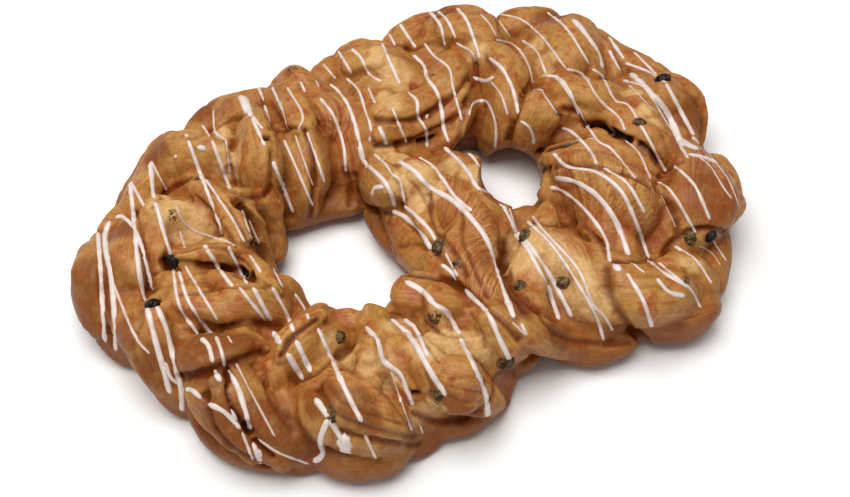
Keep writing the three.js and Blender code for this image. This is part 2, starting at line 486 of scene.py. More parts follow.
def spread(obj, values, rounds):  # evens values out over neighbouring points
    ends = np.empty(len(obj.data.edges) * 2, np.int32)
    obj.data.edges.foreach_get("vertices", ends)
    a, b = ends.reshape(-1, 2).T
    count = np.bincount(ends, minlength=len(values))
    for _ in range(rounds):
        total = np.bincount(a, values[b], len(values)) + np.bincount(b, values[a], len(values))
        values = 0.5 * values + 0.5 * total / count
    return values


def withinReach(points, path, reach):  # the points near a path, and their distances from it
    where = np.flatnonzero(((points > path.min(0) - reach) & (points < path.max(0) + reach)).all(1))
    gap = np.linalg.norm(points[where, None] - path[None], axis=2).min(1)
    return where[gap < reach], gap[gap < reach]


def fade(gap, reach):
    return (1 - (gap / reach) ** 2) ** 2


def pressIn(obj):
    tree = surfaceOf(obj)
    points = coordsOf(obj)
    for reach, depth, px, py in folds["presses"]:
        hit = onSkin(tree, px, py)
        if hit[0] is not None:
            where, gap = withinReach(points, np.array([hit[0]]), reach)
            points[where] -= np.array(hit[1]) * (depth * fade(gap, reach))[:, None]
    setAboveFloor(obj, points)


def clearGap(obj):  # moves the dough level, out of the opening that the camera looks through
    px, py, halfX, halfY = folds["gap"]
    points = coordsOf(obj)
    turned = np.array(camera.matrix_world.to_3x3())
    seen = (points - np.array(eye)) @ turned
    perPixel = -seen[:, 2] / view["focal"]
    x = (seen[:, 0] / perPixel + view["width"] / 2 - px) / halfX
    y = (view["height"] / 2 - seen[:, 1] / perPixel - py) / halfY
    far = np.maximum(np.hypot(x, y), folds["gapCore"])
    grown = np.maximum(1 + far * (folds["gapEdge"] - 1) / folds["gapEdge"], far) / far - 1
    rightward, away = turned[:, 0], np.cross((0, 0, 1), turned[:, 0])
    tilt = math.sin(math.radians(view["elevation"]))
    points += rightward * (x * grown * halfX * perPixel)[:, None]
    points -= away * (y * grown * halfY * perPixel / tilt)[:, None]
    setCoords(obj, points)


def layFolds(obj):
    pressIn(obj)
    tree = surfaceOf(obj)
    laid = [crestFold(tree, row) for row in folds["rows"]]
    laid += [crestFold(tree, row, across=True) for row in folds["acrossRows"]]
    laid += [rimFold(row) for row in folds["rims"]]
    laid = [fold for fold in laid if fold]
    seen = spread(obj, seenFromCamera(obj, tree), dough["plaitSoftness"])
    applyModifier(obj, "SMOOTH", factor=0.5, iterations=dough["plaitSoftness"])
    points = coordsOf(obj) - normalsOf(obj) * (seen * dough["underFolds"])[:, None]
    setAboveFloor(obj, points)
    whole = fuse([foldLump(fold) for fold in laid] + [obj], dough["voxel"])
    clearGap(whole)
    applyModifier(whole, "SMOOTH", factor=0.5, iterations=dough["softness"])
    whole.name = "doughCrust"
    whole.data.name = "doughCrust"
    return whole, laid


loaf, laidFolds = layFolds(loaf)
print("folds laid:", len(laidFolds), "and", len(loaf.data.polygons), "faces")

# Marks in the skin, by their pixels: sizes in mm.
marks = {
    "wobble": 0.35, "wobbleSize": 9,           # of the edges of pits and creases
    "pitSpread": 1.4, "creaseSpread": 1.3,     # of their reach, where they have faded out
    "ragged": [(6, 12, 6), (3, 4, 7)],         # depth, size and seed, at the edges of pale dough and of browned dough with painted shade
    "raggedMost": 8,
    "coverEdge": (1.15, 0.6),                  # of their radius, from bare to full
    "pits": [  # reach and depth, then the pixel
        (5, 8, 173, 262), (3.5, 2, 250, 275), (4.5, 7, 153, 303), (3, 5, 268, 137), (2.5, 4, 414, 394),
    ],
    "creases": [  # reach to each side, depth and strength of the painted shade, then pixels
        # left lobe
        (2.5, 2, 0.5, (152, 206), (165, 193), (180, 184), (192, 178)),
        (2.5, 2, 0.9, (190, 178), (200, 177), (209, 178)),
        (3, 1.5, 0.25, (99, 232), (100, 262), (105, 300), (113, 345)),
        (2.6, 2.2, 0.45, (136, 213), (142, 242), (148, 272), (149, 290)),
        (2.2, 1.8, 0.45, (181, 253), (203, 246), (226, 250), (250, 267)),
        (2.2, 1.5, 0.4, (153, 275), (164, 269), (181, 270)),
        (2.2, 1.5, 0.4, (178, 294), (201, 292), (226, 287), (270, 287)),
        (1.8, 1.2, 0.35, (220, 331), (231, 322), (248, 322), (264, 326)),
        (2, 1.4, 0.4, (196, 196), (210, 209), (226, 232), (236, 246)),
        (2, 1.4, 0.4, (204, 186), (224, 204), (240, 226), (252, 246)),
        (5, 2.5, 0.5, (236, 202), (245, 215), (252, 230), (258, 245), (266, 258)),
        (3, 2, 0.5, (166, 263), (180, 262), (200, 264), (222, 268), (238, 275), (252, 280)),
        (3, 1, 0.3, (148, 262), (147, 285), (144, 305), (140, 325), (133, 345), (136, 362)),
        (3, 1.5, 0.4, (186, 328), (205, 332), (225, 324), (250, 323), (280, 328)),
        (3.5, 2.5, 0.6, (180, 376), (200, 374), (225, 366), (245, 358), (265, 350)),
        # front left
        (2.2, 3, 0.8, (227, 366), (228, 388), (231, 402)),
        (2.6, 3.5, 0.95, (233, 408), (241, 420), (250, 432)),
        (2.2, 2.5, 0.8, (255, 440), (264, 449), (273, 457)),
        (3, 2.5, 0.6, (206, 395), (209, 415), (217, 432), (230, 447), (245, 457), (268, 466)),
        (2.5, 1, 0.4, (263, 366), (267, 390), (279, 414), (293, 430)),
        (3, 1, 0.4, (279, 410), (288, 417)),
        (2.6, 2.4, 0.7, (281, 356), (290, 340), (305, 328), (318, 320)),
        (3, 2, 0.5, (295, 382), (312, 375), (326, 364), (345, 353), (352, 345)),
        (3, 2, 0.4, (318, 388), (330, 408), (345, 420), (366, 427), (392, 434), (416, 437)),
        (3, 2, 0.5, (340, 432), (362, 438), (390, 443), (420, 445)),
        (3, 2, 0.5, (414, 412), (430, 421), (455, 421), (480, 411), (494, 396), (495, 380)),
        (3, 1.5, 0.4, (495, 380), (500, 372), (515, 372)),
        (1.8, 1.1, 0.35, (351, 346), (355, 360), (352, 374)),
        (1.8, 1.2, 0.35, (328, 386), (354, 408), (393, 421), (412, 425)),
        (1.8, 1.1, 0.35, (380, 386), (399, 411), (412, 431)),
        (1.8, 1.1, 0.35, (394, 370), (409, 393)),
        (1.8, 1.2, 0.4, (425, 374), (430, 386), (428, 398), (438, 408)),
        (1.6, 0.9, 0.3, (451, 380), (476, 377), (494, 383)),
        (1.6, 0.9, 0.3, (451, 387), (470, 391), (491, 393)),
        (1.6, 0.9, 0.3, (448, 397), (466, 402), (484, 401)),
        (1.8, 1.1, 0.35, (460, 338), (476, 361), (492, 376)),
        (1.8, 1.2, 0.4, (425, 322), (444, 334), (464, 338)),
        (2, 1.2, 0.4, (392, 313), (409, 322), (425, 341), (438, 361)),
        (1.8, 1, 0.3, (470, 312), (480, 330), (486, 348)),
        # belly
        (3, 2, 0.5, (232, 190), (250, 197), (265, 195), (271, 180), (272, 150)),
        (2.5, 2, 0.4, (270, 128), (285, 129), (300, 128)),
        (2.2, 1.6, 0.4, (233, 138), (230, 161), (235, 184)),
        (2.2, 1.5, 0.4, (188, 140), (212, 130), (226, 122), (243, 118)),
        (3, 2.5, 0.6, (305, 130), (310, 150), (313, 170), (314, 195), (310, 218)),
        (3.5, 2, 0.5, (345, 170), (350, 185), (350, 205)),
        (3, 2.5, 0.6, (375, 120), (400, 121), (420, 118), (440, 105), (455, 92), (470, 78)),
        (3, 2.5, 0.6, (374, 146), (390, 145), (410, 141), (430, 132), (450, 120), (468, 100)),
        (3, 1.5, 0.4, (395, 45), (412, 50), (430, 42), (447, 48)),
        (3, 1.5, 0.4, (474, 60), (477, 75), (470, 95), (462, 120), (458, 145)),
        (3, 1.5, 0.4, (497, 18), (500, 32)),
        (3.5, 2, 0.5, (530, 85), (522, 100), (515, 120), (508, 140)),
        (2.5, 1, 0.2, (553, 15), (570, 33), (585, 50), (592, 66)),
        # right lobe
        (3, 3.5, 1.2, (585, 125), (600, 127), (615, 133), (630, 140)),
        (3, 3, 1.1, (640, 144), (650, 152), (660, 162)),
        (3, 2, 0.6, (560, 110), (575, 112), (585, 125)),
        (3, 3, 1.1, (540, 151), (555, 146), (575, 141)),
        (3, 2.2, 0.5, (540, 172), (565, 165), (590, 166), (620, 172), (640, 180), (652, 188)),
        (3, 1.5, 0.4, (532, 222), (555, 225), (582, 227), (601, 243), (610, 258)),
        (3, 2.5, 0.6, (615, 260), (640, 261), (660, 255), (672, 242), (690, 232), (705, 228), (725, 232)),
        (3, 2, 0.5, (680, 162), (665, 172), (655, 185), (668, 200), (676, 220), (678, 235)),
        (4, 3, 0.5, (607, 268), (608, 288), (614, 306), (624, 322), (645, 340)),
        (3.5, 2, 0.5, (505, 265), (515, 290), (535, 310), (560, 335), (590, 343), (630, 342)),
        # bar
        (3, 2.5, 0.6, (405, 273), (430, 276), (455, 284), (475, 300), (500, 318), (520, 340)),
        (3, 2, 0.4, (355, 175), (358, 195), (370, 208), (390, 214)),
        (2.5, 2, 0.5, (429, 193), (431, 207), (434, 224), (443, 238), (456, 256), (465, 276)),
        (2.5, 1.6, 0.4, (461, 211), (463, 236), (472, 260), (487, 296)),
        (2.2, 1.4, 0.35, (398, 247), (418, 244), (429, 251)),
        (2.2, 1.4, 0.35, (389, 216), (387, 233), (396, 256)),
        (2, 1.2, 0.35, (392, 170), (398, 182), (404, 196), (402, 210)),
        (2, 1.2, 0.3, (409, 178), (420, 190), (428, 206)),
        (3, 1.5, 0.4, (394, 212), (408, 222), (425, 240), (436, 252), (450, 270)),
        (4, 2, 0.6, (505, 245), (503, 270), (510, 290), (525, 310)),
    ],
    "blisters": [(7, 4, 374, 386), (7, 2, 435, 313)],  # reach and height, then the pixel
    "pale": [     # radius of dough that split open late and browned little, then the pixel
        (14, 175, 205), (16, 185, 222), (9, 200, 233), (10, 160, 200), (6, 222, 240), (9, 222, 132),
        (10, 228, 152), (8, 226, 170), (14, 385, 60), (14, 392, 80), (12, 390, 98), (9, 478, 50),
        (10, 535, 45), (10, 550, 62), (8, 632, 92), (8, 645, 108), (7, 655, 122), (14, 392, 158),
        (14, 420, 165), (14, 448, 170), (12, 470, 172), (10, 430, 190), (10, 400, 185), (8, 415, 205),
        (14, 350, 362), (10, 375, 365), (12, 335, 352), (14, 450, 340), (14, 475, 352), (12, 425, 345),
        (10, 400, 330), (10, 380, 385), (12, 430, 410), (18, 525, 245), (20, 550, 265), (18, 575, 285),
        (14, 595, 305), (14, 515, 262), (8, 690, 262),
    ],
    "brownedAndShaded": [  # radius of dough that baked darkest, with painted shade on the steep outer sides, then the pixel
        (28, 205, 352), (18, 234, 342), (20, 222, 425), (22, 262, 425), (18, 300, 445), (16, 200, 440),
        (26, 90, 290), (18, 100, 330), (24, 714, 190), (16, 692, 112), (18, 455, 415), (14, 672, 332),
        (15, 318, 402), (18, 158, 370), (12, 122, 230), (12, 518, 304), (14, 155, 150), (14, 440, 14),
        (14, 552, 18), (14, 360, 408), (14, 122, 338), (12, 560, 336), (13, 198, 112),
    ],
}

# Raisins: one wrinkled raisin, copied to each place where the solid has one.
raisin = {
    "halfSizes": (5.6, 4.3, 3.6),  # mm
    "depth": 1.1,                  # mm that the crust reaches up past the middle
    "coveredDepth": 3.2,
    "covered": (1, 5, 8, 11, 15, 20, 21, 22, 24, 25, 26),  # that the dough nearly closes over
    "bareDepth": 0,
    "bare": (2, 3, 4, 12, 13, 17, 19),                     # that stand out
    "dusty": (6, 7, 9, 10, 12, 13, 14, 16, 18),            # that a film of dough dulls
    "seat": 13,                    # mm round a raisin where the skin follows it
    "seatSlope": 3,                # of the mm that the skin moves there, at least
    "wrinkle": 0.26, "wrinkleSize": 0.42, "wrinkleWide": 0.12,  # of its half size, as is the dent
    "wrinkleStretch": (1, 1, 0.6), "dent": 0.14, "dentSize": 1.1,
    "turn": 2.4, "sizeSpread": 0.12,  # radians and share, from raisin to raisin
    "skin": "#0F0804", "bloom": "#36281A", "film": "#7C6038",
    "bloomSize": 3,                # mm
    "bloomed": (0.5, 0.75, 0, 0.6), "filmed": (0.58, 0.4, 0.12, 0.9),  # from and to, and how much at each
    "roughness": 0.45, "gloss": 0.3,
}
raisinNodes = [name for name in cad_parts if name.startswith("raisin")]


def isAmong(name, kind):
    return int(name.split("_")[1]) in raisin[kind]


def middleOf(name):  # of a raisin's solid, in mm
    low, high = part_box(name)
    return (Vector(low) + Vector(high)) / 2 / mm


# Skin of the dough, as the plait, the folds and the oven leave it: sizes in mm.
doughSkin = {
    "branches": [(0, 0.27), (0.27, 0.86), (0.86, 1)],  # shares of the rope that pass each other
    "ropeSteps": 900, "foldSteps": 40,
    "farLevel": 9,             # half widths that count as far off
    "past": 20,                # past the rope's end for each half width
    "strandRadius": 24,
    "levelDepth": 16,          # for each half width
    "firstFold": 40,           # folds are numbered on from here, after the strands
    "foldReach": 1.6,          # half widths
    "leastPlump": 0.03,
    "wideFold": 20,            # half width from which a fold looks pulled
    "pulledRounds": 5, "evenRounds": 14, "broadRounds": 120,  # of evening out
    "swells": [(0.7, 26, 2), (0.5, 10, 3)],                   # height, size and seed
    "ridge": 0.6, "ridgeWide": 4.5, "ridgeLong": 60,
    "dimple": 0.7, "dimpleSize": 8, "dimpleEdge": (0.05, 0.5),
    "seam": 0.5, "seamWide": 2,
    "rough": 0.12, "paleRough": 0.4, "roughSize": 4,
    "paleSunk": 0.4,
    "footFade": (0.5, 6),      # heights between which the skin starts to move
}


def readStrands(points):  # mm across and along the strand or fold of each point, and mm to the next one
    best = np.full(len(points), float(doughSkin["farLevel"]))
    second = best.copy()
    fibre = np.zeros((len(points), 3))

    def claim(where, level, across, along, number):
        owns = level < best[where]
        second[where] = np.where(owns, best[where], np.minimum(second[where], level))
        best[where] = np.where(owns, level, best[where])
        mine = np.column_stack([across, along, np.full(len(across), float(number))])
        fibre[where[owns]] = mine[owns]

    shares = np.linspace(0, 1, doughSkin["ropeSteps"] + 1)
    place, ahead, outward, halfWidth, turn = ropeAt(shares)
    ropeLength = lengthAlong(place)
    everywhere = np.arange(len(points))
    batch = 20000  # points at a time
    for number, (low, high) in enumerate(doughSkin["branches"]):
        pick = np.flatnonzero((shares >= low) & (shares <= high))
        nearest = np.empty(len(points), int)
        for start in range(0, len(points), batch):
            gap = points[start:start + batch, None, :2] - place[None, pick]
            nearest[start:start + batch] = pick[np.argmin((gap ** 2).sum(-1), axis=1)]
        offset = points[:, :2] - place[nearest]
        out = (offset * outward[nearest]).sum(1)
        past = np.abs((offset * ahead[nearest]).sum(1)) / doughSkin["past"]
        for strand in range(dough["strands"]):
            side, height, wide, tall = strandSection(halfWidth[nearest], turn[nearest], strand)
            x = (out - side) / (wide - dough["underFolds"])
            y = (points[:, 2] - height) / (tall - dough["underFolds"])
            level = np.sqrt(x ** 2 + y ** 2) + past
            across = np.arctan2(y, x) * doughSkin["strandRadius"]
            claim(everywhere, level, across, ropeLength[nearest], number * 10 + strand)
    steps = doughSkin["foldSteps"]
    for number, fold in enumerate(laidFolds):
        place, ahead, side, upward = foldAt(fold, np.linspace(0, 1, steps + 1))
        reach = fold["wide"] * doughSkin["foldReach"]
        where = np.flatnonzero(((points > place.min(0) - reach) & (points < place.max(0) + reach)).all(1))
        gap = points[where, None] - place[None]
        near = np.argmin((gap ** 2).sum(-1), axis=1)
        gap = gap[np.arange(len(where)), near]
        plump = np.maximum(np.sin(near / steps * math.pi), doughSkin["leastPlump"]) ** folds["blunt"]
        x = (gap * side[near]).sum(1) / (fold["wide"] * plump)
        y = (gap * upward[near]).sum(1) / (fold["tall"] * plump)
        z = (gap * ahead[near]).sum(1)
        along = lengthAlong(place)[near] + z
        across = np.arctan2(x, y) * fold["wide"]
        n = folds["squareness"]
        level = (np.abs(x) ** n + np.abs(y) ** n + np.abs(z / fold["wide"]) ** n) ** (1 / n)
        if fold["across"]:
            across, along = along - folds["twist"] * across, across
        claim(where, level, across, along, doughSkin["firstFold"] + number)
    return fibre, (second - best) * doughSkin["levelDepth"]


def noiseAt(points, size, seed):
    shift = Vector((seed * 17.3, seed * 5.1, seed * 9.7))
    return np.array([noise.noise(Vector(p) / size + shift) for p in points])


def seenPath(tree, pixels, step=2):  # a smooth line through pixels, as points on the skin
    pixels = np.array(pixels, float)
    length = np.linalg.norm(np.diff(pixels, axis=0), axis=1).sum()
    line = throughPoints(pixels, np.linspace(0, 1, max(int(length / step), 2) + 1), True)
    hits = [onSkin(tree, *pixel)[0] for pixel in line]
    return np.array([hit for hit in hits if hit is not None])


def seenSpot(tree, px, py, half=1):  # a short level line over one pixel
    return seenPath(tree, [(px - half, py), (px + half, py)])


def markSkin(obj):  # how far each point moves out, how much painted shade it takes in pits and creases, how pale it is, and how much browning and painted side shade it takes
    tree = surfaceOf(obj)
    points = coordsOf(obj)
    move, paintedShade, pale, brownedAndShaded = np.zeros((4, len(points)))
    wobble = 1 + marks["wobble"] * noiseAt(points, marks["wobbleSize"], 5)
    for reach, depth, px, py in marks["pits"]:
        reach *= marks["pitSpread"]
        where, gap = withinReach(points, seenSpot(tree, px, py, 2), reach)
        sunk = fade(np.minimum(gap * wobble[where], reach), reach)
        move[where] -= depth * sunk
        # painted shade filling the pit
        paintedShade[where] = np.maximum(paintedShade[where], sunk)
    for reach, depth, shadeStrength, *pixels in marks["creases"]:
        path = seenPath(tree, pixels)
        reach *= marks["creaseSpread"]
        if len(path):
            where, gap = withinReach(points, path, reach)
            sunk = fade(np.minimum(gap * wobble[where], reach), reach)
            move[where] = np.minimum(move[where], -depth * sunk)
            # painted shade along the crease
            paintedShade[where] = np.maximum(paintedShade[where], shadeStrength * sunk)
    for reach, height, px, py in marks["blisters"]:
        where, gap = withinReach(points, seenSpot(tree, px, py), reach)
        move[where] += height * fade(gap, reach)
    ragged = sum(depth * noiseAt(points, size, seed) for depth, size, seed in marks["ragged"])
    bare, full = marks["coverEdge"]
    for kind, values in (("pale", pale), ("brownedAndShaded", brownedAndShaded)):
        for radius, px, py in marks[kind]:
            path = seenSpot(tree, px, py)
            if len(path):
                where, gap = withinReach(points, path, radius + marks["raggedMost"])
                cover = smoothStep(radius * bare, radius * full, gap + ragged[where])
                values[where] = np.maximum(values[where], cover)
    return move, paintedShade, pale, brownedAndShaded


def seatRaisins(obj):  # the skin comes up or down to where each raisin sits
    tree = surfaceOf(obj)
    points = coordsOf(obj)
    for name in raisinNodes:
        middle = middleOf(name)
        skin, out, _, _ = tree.find_nearest(middle)
        depth = raisin["depth"]
        for kind in ("bare", "covered"):
            if isAmong(name, kind):
                depth = raisin[kind + "Depth"]
        lift = depth - (skin - middle).dot(out)
        reach = max(raisin["seat"], raisin["seatSlope"] * abs(lift))
        where, gap = withinReach(points, np.array([middle, skin]), reach)
        points[where] += np.array(out) * (lift * fade(gap, reach))[:, None]
    setAboveFloor(obj, points)


def addValues(obj, name, values):
    kind = "FLOAT_VECTOR" if values.ndim == 2 else "FLOAT"
    layer = obj.data.attributes.new(name, kind, "POINT")
    layer.data.foreach_set("vector" if values.ndim == 2 else "value", values.astype(np.float32).ravel())


def moveOut(obj, distance):
    points = coordsOf(obj)
    points += normalsOf(obj) * (distance * smoothStep(*doughSkin["footFade"], points[:, 2]))[:, None]
    setAboveFloor(obj, points)


def shapeSkin(obj):
    points = coordsOf(obj)
    fibre, seam = readStrands(points)
    stretched = []
    for number, fold in enumerate(laidFolds):
        if fold["across"] or fold["wide"] >= doughSkin["wideFold"]:
            stretched.append(doughSkin["firstFold"] + number)
    pulled = spread(obj, np.isin(fibre[:, 2], stretched).astype(float), doughSkin["pulledRounds"])
    ridges = noiseAt(fibre * (1 / doughSkin["ridgeWide"], 1 / doughSkin["ridgeLong"], 1), 1, 1)
    dimples = smoothStep(*doughSkin["dimpleEdge"], noiseAt(points, doughSkin["dimpleSize"], 9))
    move = sum(height * noiseAt(points, size, seed) for height, size, seed in doughSkin["swells"])
    move += doughSkin["ridge"] * ridges * pulled
    move -= doughSkin["dimple"] * dimples
    moveOut(obj, move - doughSkin["seam"] * np.exp(-np.maximum(seam, 0) / doughSkin["seamWide"]))
    sunk, paintedShade, pale, brownedAndShaded = markSkin(obj)
    rough = noiseAt(points, doughSkin["roughSize"], 8) * (doughSkin["rough"] + doughSkin["paleRough"] * pale)
    moveOut(obj, sunk - doughSkin["paleSunk"] * pale + rough)
    seatRaisins(obj)
    points, normals = coordsOf(obj), normalsOf(obj)
    even = np.column_stack([spread(obj, points[:, axis], doughSkin["evenRounds"]) for axis in range(3)])
    broad = np.column_stack([spread(obj, even[:, axis], doughSkin["broadRounds"]) for axis in range(3)])
    values = {
        "fibre": fibre, "paintedShade": paintedShade, "pale": pale, "brownedAndShaded": brownedAndShaded, "pulled": pulled,
        "hollow": ((even - points) * normals).sum(1),  # mm, less than nothing on a crest
        "crest": ((points - broad) * normals).sum(1),
    }
    for name, found in values.items():
        addValues(obj, name, found)


shapeSkin(loaf)
triangles = 2 * len(loaf.data.polygons)
applyModifier(loaf, "DECIMATE", ratio=dough["triangles"] / triangles)
pickOnly(loaf)
bpy.ops.object.shade_smooth()
print("skin shaped:", len(loaf.data.polygons), "triangles of", triangles)


# Materials.
def linear(hexColour):
    parts = [int(hexColour[i:i + 2], 16) / 255 for i in (1, 3, 5)]
    return (*[c / 12.92 if c <= 0.04045 else ((c + 0.055) / 1.055) ** 2.4 for c in parts], 1)


def newMaterial(name):
    material = bpy.data.materials.new(name)
    material.use_nodes = True
    material.node_tree.nodes.clear()
    return material, material.node_tree


def addNode(tree, kind, sockets=None, **settings):
    made = tree.nodes.new("ShaderNode" + kind)
    for key, value in settings.items():
        setattr(made, key, value)
    for key, value in (sockets or {}).items():
        if isinstance(value, bpy.types.NodeSocket):
            tree.links.new(value, made.inputs[key])
        else:
            made.inputs[key].default_value = value
    return made


# Yeast dough brushed with egg and baked: satin brown, redder where it stretched, pale where it split late,
# with painted shade in creases, pits, hollows and on the lower and outer sides, and painted light on crests.
crust = {
    "light": "#B6813E", "brown": "#A05E2A", "red": "#A04A1C", "olive": "#98702A", "yellow": "#C89A52",
    # the darkest brown here is crust that baked darkest plus painted shade on the outer sides; the dull
    # brown after it is random darker tone plus painted shade in broad hollows
    "streak": "#762E12", "pale": "#DAB074", "brownedAndShaded": "#74390C", "brownToneAndShade": "#8E480F",
    # painted shade colours: the crease brown for creases and hollows, the near black for pits, the foot
    # brown for the lower sides
    "crease": "#561E00", "pitShade": "#120A05", "footShade": "#763800", "lick": "#D6A868",
    "roughness": 0.48,
    "glossFade": (0.1, 1.4, 0.28, 0.05),  # mm of hollow from and to, and the gloss at each
    "bump": 0.4, "bumpHeight": 1.1,  # mm
    "grain": 0.6,  # roughness of every pattern
    "clouds": {    # size in mm, detail, and where the pattern is taken from in m
        "patches": (30, 6, (0, 0, 0)),
        "blotches": (12, 6, (0.3, 0.7, 0.2)),
        "mottles": (5, 5, (0.3, 0.7, 0.2)),
        "crumbs": (2.4, 3, (0, 0, 0)),
        "specks": (1.6, 3, (0, 0, 0)),
    },
    "drawnOut": {  # mm across and along the strand, change from strand to strand, and detail
        "threads": (1.7, 50, 7, 2),
        "hairs": (0.9, 20, 3, 1),
        "bands": (4, 80, 5, 2),
    },
    "limits": {    # what steers it, from and to, how much then, and what else holds it back
        "unbaked": ("brownedAndShaded", 0, 1, 1, 0.35, None),
        "stretch": ("pulled", 0, 1, 0.2, 1, "unbaked"),
        "drawn": ("pale", 0, 1, 0.9, 0.4, "unbaked"),
        "ruddy": ("brownedAndShaded", 0, 1, 0.85, 0.2, None),
        "baked": ("brownedAndShaded", 0, 1, 0.45, 0.15, None),
    },
    "layers": [    # the same, each after its colour, from the first laid to the last
        ("light", "patches", 0.35, 0.65, 0, 1, None),
        # painted light: crests lighter and yellower
        ("yellow", "crest", -0.5, 4, 0, 0.4, None),
        # painted shade: broad hollows darker
        ("brownToneAndShade", "crest", 0.5, -3.5, 0, 0.75, None),
        # darkest baked crust, with painted shade on the outer sides
        ("brownedAndShaded", "brownedAndShaded", 0, 1, 0, 0.85, None),
        ("red", "blotches", 0.52, 0.64, 0, 1, "ruddy"),
        ("olive", "blotches", 0.46, 0.34, 0, 0.6, None),
        ("yellow", "mottles", 0.48, 0.32, 0, 1, "baked"),
        ("brownToneAndShade", "mottles", 0.53, 0.68, 0, 0.5, None),
        ("red", "bands", 0.46, 0.6, 0, 0.45, "pulled"),
        ("streak", "threads", 0.5, 0.68, 0, 0.85, "stretch"),
        ("lick", "threads", 0.45, 0.3, 0, 0.4, "stretch"),
        ("streak", "hairs", 0.52, 0.7, 0, 0.38, "drawn"),
        ("lick", "hairs", 0.46, 0.3, 0, 0.2, "drawn"),
        ("streak", "specks", 0.58, 0.72, 0, 0.35, None),
        ("pale", "crumbs", 0.36, 0.62, 0.9, 0.5, "pale"),
        # painted shade: darker towards the base
        ("footShade", "height", 0.044, 0.01, 0, 0.85, None),  # m
        # painted shade in hollows and folds
        ("crease", "hollow", 0.2, 1.8, 0, 0.65, None),
        # painted shade along creases and over pits
        ("crease", "paintedShade", 0.08, 0.6, 0, 0.85, None),
        # painted shade: the deepest pits and creases near black
        ("pitShade", "paintedShade", 0.6, 1, 0, 0.95, None),
    ],
}


def crustMaterial():
    material, tree = newMaterial("eggWashedCrust")
    place = addNode(tree, "TexCoord").outputs["Object"]
    fibre = addNode(tree, "Attribute", attribute_name="fibre").outputs["Vector"]
    value = {"height": addNode(tree, "SeparateXYZ", {0: place}).outputs["Z"]}
    for name in ("paintedShade", "pale", "brownedAndShaded", "pulled", "hollow", "crest"):
        value[name] = addNode(tree, "Attribute", attribute_name=name).outputs["Fac"]
    for name, (size, detail, taken) in crust["clouds"].items():
        spot = addNode(tree, "Mapping", {"Vector": place, "Location": taken}).outputs[0]
        grain = {"Vector": spot, "Scale": 1 / (size * mm), "Detail": detail, "Roughness": crust["grain"]}
        value[name] = addNode(tree, "TexNoise", grain).outputs["Fac"]
    for name, (wide, long, change, detail) in crust["drawnOut"].items():
        spot = addNode(tree, "Mapping", {"Vector": fibre, "Scale": (1 / wide, 1 / long, change)}).outputs[0]
        grain = {"Vector": spot, "Scale": 1, "Detail": detail, "Roughness": crust["grain"]}
        value[name] = addNode(tree, "TexNoise", grain).outputs["Fac"]

    def shareOf(steer, start, stop, least, most, limit):
        share = addNode(tree, "MapRange", {0: value[steer], 1: start, 2: stop, 3: least, 4: most}).outputs[0]
        if limit:
            share = addNode(tree, "Math", {0: share, 1: value[limit]}, operation="MULTIPLY").outputs[0]
        return share

    for name, rule in crust["limits"].items():
        value[name] = shareOf(*rule)
    colour = linear(crust["brown"])
    for over, *rule in crust["layers"]:
        blend = {0: shareOf(*rule), 6: colour, 7: linear(crust[over])}
        colour = addNode(tree, "Mix", blend, data_type="RGBA").outputs[2]
    ridged = {0: value["threads"], 1: value["stretch"], 2: value["crumbs"]}
    height = addNode(tree, "Math", ridged, operation="MULTIPLY_ADD").outputs[0]
    relief = {"Height": height, "Strength": crust["bump"], "Distance": crust["bumpHeight"] * mm}
    finish = {
        "Base Color": colour, "Roughness": crust["roughness"],
        "Normal": addNode(tree, "Bump", relief).outputs[0],
        "Specular IOR Level": shareOf("hollow", *crust["glossFade"], None),
    }
    skin = addNode(tree, "BsdfPrincipled", finish)
    addNode(tree, "OutputMaterial", {"Surface": skin.outputs[0]})
    return material


loaf.data.materials.clear()
loaf.data.materials.append(crustMaterial())
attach(loaf, "root")
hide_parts("dough")
print("crust finished")


def makeRaisin():
    deselectAll()
    bpy.ops.mesh.primitive_ico_sphere_add(subdivisions=4, radius=mm)
    made = bpy.context.object
    ball = coordsOf(made)
    crease = np.abs(noiseAt(ball * raisin["wrinkleStretch"], raisin["wrinkleSize"], 11))
    sunk = raisin["wrinkle"] * np.exp(-(crease / raisin["wrinkleWide"]) ** 2)
    ball *= (1 - sunk + raisin["dent"] * noiseAt(ball, raisin["dentSize"], 12))[:, None]
    setCoords(made, ball * raisin["halfSizes"])
    return made


def driedGrapeMaterial():  # shrunken dark skin with a dull sugary bloom in random patches
    material, tree = newMaterial("driedGrape")
    place = addNode(tree, "TexCoord").outputs["Object"]
    grain = {"Vector": place, "Scale": 1 / (raisin["bloomSize"] * mm), "Detail": 4}
    cloud = addNode(tree, "TexNoise", grain).outputs["Fac"]
    dusty = addNode(tree, "MapRange", dict(enumerate((cloud, *raisin["bloomed"])))).outputs[0]
    colours = {0: dusty, 6: linear(raisin["skin"]), 7: linear(raisin["bloom"])}
    bare = addNode(tree, "Mix", colours, data_type="RGBA").outputs[2]
    veil = addNode(tree, "Attribute", attribute_name="veil").outputs["Fac"]
    filmy = addNode(tree, "MapRange", dict(enumerate((cloud, *raisin["filmed"])))).outputs[0]
    covered = addNode(tree, "Math", {0: veil, 1: filmy}, operation="MULTIPLY").outputs[0]
    colours = {0: covered, 6: bare, 7: linear(raisin["film"])}
    colour = addNode(tree, "Mix", colours, data_type="RGBA").outputs[2]
    finish = {"Base Color": colour, "Roughness": raisin["roughness"], "Specular IOR Level": raisin["gloss"]}
    skin = addNode(tree, "BsdfPrincipled", finish)
    addNode(tree, "OutputMaterial", {"Surface": skin.outputs[0]})
    return material


